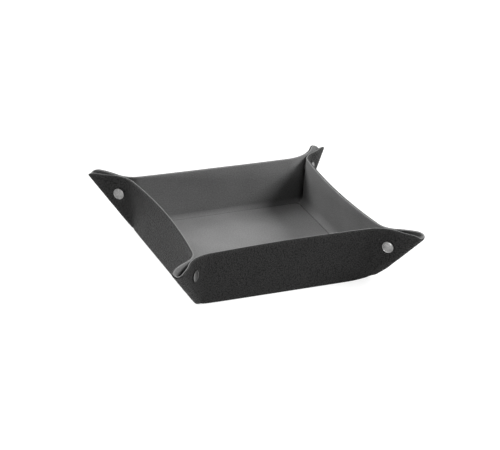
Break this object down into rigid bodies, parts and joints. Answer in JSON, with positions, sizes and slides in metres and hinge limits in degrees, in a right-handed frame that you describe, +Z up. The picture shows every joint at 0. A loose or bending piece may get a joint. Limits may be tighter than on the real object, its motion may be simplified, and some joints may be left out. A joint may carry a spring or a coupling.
{
  "type": "valet tray",
  "caption": "Shallow square valet tray folded from a lined leather sheet, its pinched corners held by press snaps; undoing the snaps lets it lie flat.",
  "frame": {"origin": "middle of the underside of the base", "axes": "+Z up, the front wall faces -Y"},
  "size_m": [0.2106, 0.2106, 0.0439],
  "materials": {
    "leather": "fine pebble grain, matte",
    "lining": "smooth, matte",
    "board": "raw",
    "snap_metal": "satin"
  },
  "bodies": {
    "base": {"leather_base": "leather", "base_board": "board", "lining_base": "lining"},
    "front_wall": {"leather_front": "leather", "lining_front": "lining"},
    "right_wall": {"leather_right": "leather", "lining_right": "lining"},
    "back_wall": {"leather_back": "leather", "lining_back": "lining"},
    "left_wall": {"leather_left": "leather", "lining_left": "lining"},
    "front_flap_right": {"leather_front_flap_right": "leather", "lining_front_flap_right": "lining", "socket_cap_front_right": "snap_metal", "snap_socket_front_right": "snap_metal", "snap_spring_front_right": "snap_metal"},
    "front_fold_right": {"front_fold_right": "leather"},
    "right_flap_front": {"leather_right_flap_front": "leather", "lining_right_flap_front": "lining", "stud_cap_front_right": "snap_metal", "snap_stud_front_right": "snap_metal"},
    "right_fold_front": {"right_fold_front": "leather"},
    "right_flap_back": {"leather_right_flap_back": "leather", "lining_right_flap_back": "lining", "socket_cap_right_back": "snap_metal", "snap_socket_right_back": "snap_metal", "snap_spring_right_back": "snap_metal"},
    "right_fold_back": {"right_fold_back": "leather"},
    "back_flap_right": {"leather_back_flap_right": "leather", "lining_back_flap_right": "lining", "stud_cap_right_back": "snap_metal", "snap_stud_right_back": "snap_metal"},
    "back_fold_right": {"back_fold_right": "leather"},
    "back_flap_left": {"leather_back_flap_left": "leather", "lining_back_flap_left": "lining", "socket_cap_back_left": "snap_metal", "snap_socket_back_left": "snap_metal", "snap_spring_back_left": "snap_metal"},
    "back_fold_left": {"back_fold_left": "leather"},
    "left_flap_back": {"leather_left_flap_back": "leather", "lining_left_flap_back": "lining", "stud_cap_back_left": "snap_metal", "snap_stud_back_left": "snap_metal"},
    "left_fold_back": {"left_fold_back": "leather"},
    "left_flap_front": {"leather_left_flap_front": "leather", "lining_left_flap_front": "lining", "socket_cap_left_front": "snap_metal", "snap_socket_left_front": "snap_metal", "snap_spring_left_front": "snap_metal"},
    "left_fold_front": {"left_fold_front": "leather"},
    "front_flap_left": {"leather_front_flap_left": "leather", "lining_front_flap_left": "lining", "stud_cap_left_front": "snap_metal", "snap_stud_left_front": "snap_metal"},
    "front_fold_left": {"front_fold_left": "leather"}
  },
  "joints": [
    {"name": "front_crease", "type": "hinge", "parent": "base", "child": "front_wall", "pos_m": [0, -0.075, 0.00105], "axis": [1, 0, 0], "range_deg": [0, 82]},
    {"name": "right_crease", "type": "hinge", "parent": "base", "child": "right_wall", "pos_m": [0.075, 0, 0.00105], "axis": [0, 1, 0], "range_deg": [0, 82]},
    {"name": "back_crease", "type": "hinge", "parent": "base", "child": "back_wall", "pos_m": [0, 0.075, 0.00105], "axis": [-1, 0, 0], "range_deg": [0, 82]},
    {"name": "left_crease", "type": "hinge", "parent": "base", "child": "left_wall", "pos_m": [-0.075, 0, 0.00105], "axis": [0, -1, 0], "range_deg": [0, 82]},
    {"name": "front_flap_right_bend", "type": "hinge", "parent": "front_wall", "child": "front_flap_right", "pos_m": [0.07338, -0.07542, 0.00404], "axis": [0.0646, -0.0861, 0.9942], "range_deg": [0, 53]},
    {"name": "front_fold_right_bend", "type": "hinge", "parent": "front_flap_right", "child": "front_fold_right", "pos_m": [0.07615, -0.07749, 0.00404], "axis": [-0.4637, 0.5183, -0.7185], "range_deg": [0, 90]},
    {"name": "right_flap_front_bend", "type": "hinge", "parent": "right_wall", "child": "right_flap_front", "pos_m": [0.07542, -0.07338, 0.00404], "axis": [-0.0861, 0.0646, -0.9942], "range_deg": [0, 53]},
    {"name": "right_fold_front_bend", "type": "hinge", "parent": "right_flap_front", "child": "right_fold_front", "pos_m": [0.07749, -0.07615, 0.00404], "axis": [0.5183, -0.4637, 0.7185], "range_deg": [0, 90]},
    {"name": "right_flap_back_bend", "type": "hinge", "parent": "right_wall", "child": "right_flap_back", "pos_m": [0.07542, 0.07338, 0.00404], "axis": [0.0861, 0.0646, 0.9942], "range_deg": [0, 53]},
    {"name": "right_fold_back_bend", "type": "hinge", "parent": "right_flap_back", "child": "right_fold_back", "pos_m": [0.07749, 0.07615, 0.00404], "axis": [-0.5183, -0.4637, -0.7185], "range_deg": [0, 90]},
    {"name": "back_flap_right_bend", "type": "hinge", "parent": "back_wall", "child": "back_flap_right", "pos_m": [0.07338, 0.07542, 0.00404], "axis": [-0.0646, -0.0861, -0.9942], "range_deg": [0, 53]},
    {"name": "back_fold_right_bend", "type": "hinge", "parent": "back_flap_right", "child": "back_fold_right", "pos_m": [0.07615, 0.07749, 0.00404], "axis": [0.4637, 0.5183, 0.7185], "range_deg": [0, 90]},
    {"name": "back_flap_left_bend", "type": "hinge", "parent": "back_wall", "child": "back_flap_left", "pos_m": [-0.07338, 0.07542, 0.00404], "axis": [-0.0646, 0.0861, 0.9942], "range_deg": [0, 53]},
    {"name": "back_fold_left_bend", "type": "hinge", "parent": "back_flap_left", "child": "back_fold_left", "pos_m": [-0.07615, 0.07749, 0.00404], "axis": [0.4637, -0.5183, -0.7185], "range_deg": [0, 90]},
    {"name": "left_flap_back_bend", "type": "hinge", "parent": "left_wall", "child": "left_flap_back", "pos_m": [-0.07542, 0.07338, 0.00404], "axis": [0.0861, -0.0646, -0.9942], "range_deg": [0, 53]},
    {"name": "left_fold_back_bend", "type": "hinge", "parent": "left_flap_back", "child": "left_fold_back", "pos_m": [-0.07749, 0.07615, 0.00404], "axis": [-0.5183, 0.4637, 0.7185], "range_deg": [0, 90]},
    {"name": "left_flap_front_bend", "type": "hinge", "parent": "left_wall", "child": "left_flap_front", "pos_m": [-0.07542, -0.07338, 0.00404], "axis": [-0.0861, -0.0646, 0.9942], "range_deg": [0, 53]},
    {"name": "left_fold_front_bend", "type": "hinge", "parent": "left_flap_front", "child": "left_fold_front", "pos_m": [-0.07749, -0.07615, 0.00404], "axis": [0.5183, 0.4637, -0.7185], "range_deg": [0, 90]},
    {"name": "front_flap_left_bend", "type": "hinge", "parent": "front_wall", "child": "front_flap_left", "pos_m": [-0.07338, -0.07542, 0.00404], "axis": [0.0646, 0.0861, -0.9942], "range_deg": [0, 53]},
    {"name": "front_fold_left_bend", "type": "hinge", "parent": "front_flap_left", "child": "front_fold_left", "pos_m": [-0.07615, -0.07749, 0.00404], "axis": [-0.4637, -0.5183, 0.7185], "range_deg": [0, 90]}
  ],
  "couplings": [
    {"joint": "right_crease", "follows": "front_crease", "ratio": 1},
    {"joint": "back_crease", "follows": "front_crease", "ratio": 1},
    {"joint": "left_crease", "follows": "front_crease", "ratio": 1},
    {"joint": "front_flap_right_bend", "follows": "front_crease", "ratio": 0.60976},
    {"joint": "front_fold_right_bend", "follows": "front_crease", "ratio": 1.0488},
    {"joint": "right_flap_front_bend", "follows": "front_crease", "ratio": 0.60976},
    {"joint": "right_fold_front_bend", "follows": "front_crease", "ratio": 1.0488},
    {"joint": "right_flap_back_bend", "follows": "front_crease", "ratio": 0.60976},
    {"joint": "right_fold_back_bend", "follows": "front_crease", "ratio": 1.0488},
    {"joint": "back_flap_right_bend", "follows": "front_crease", "ratio": 0.60976},
    {"joint": "back_fold_right_bend", "follows": "front_crease", "ratio": 1.0488},
    {"joint": "back_flap_left_bend", "follows": "front_crease", "ratio": 0.60976},
    {"joint": "back_fold_left_bend", "follows": "front_crease", "ratio": 1.0488},
    {"joint": "left_flap_back_bend", "follows": "front_crease", "ratio": 0.60976},
    {"joint": "left_fold_back_bend", "follows": "front_crease", "ratio": 1.0488},
    {"joint": "left_flap_front_bend", "follows": "front_crease", "ratio": 0.60976},
    {"joint": "left_fold_front_bend", "follows": "front_crease", "ratio": 1.0488},
    {"joint": "front_flap_left_bend", "follows": "front_crease", "ratio": 0.60976},
    {"joint": "front_fold_left_bend", "follows": "front_crease", "ratio": 1.0488}
  ]
}
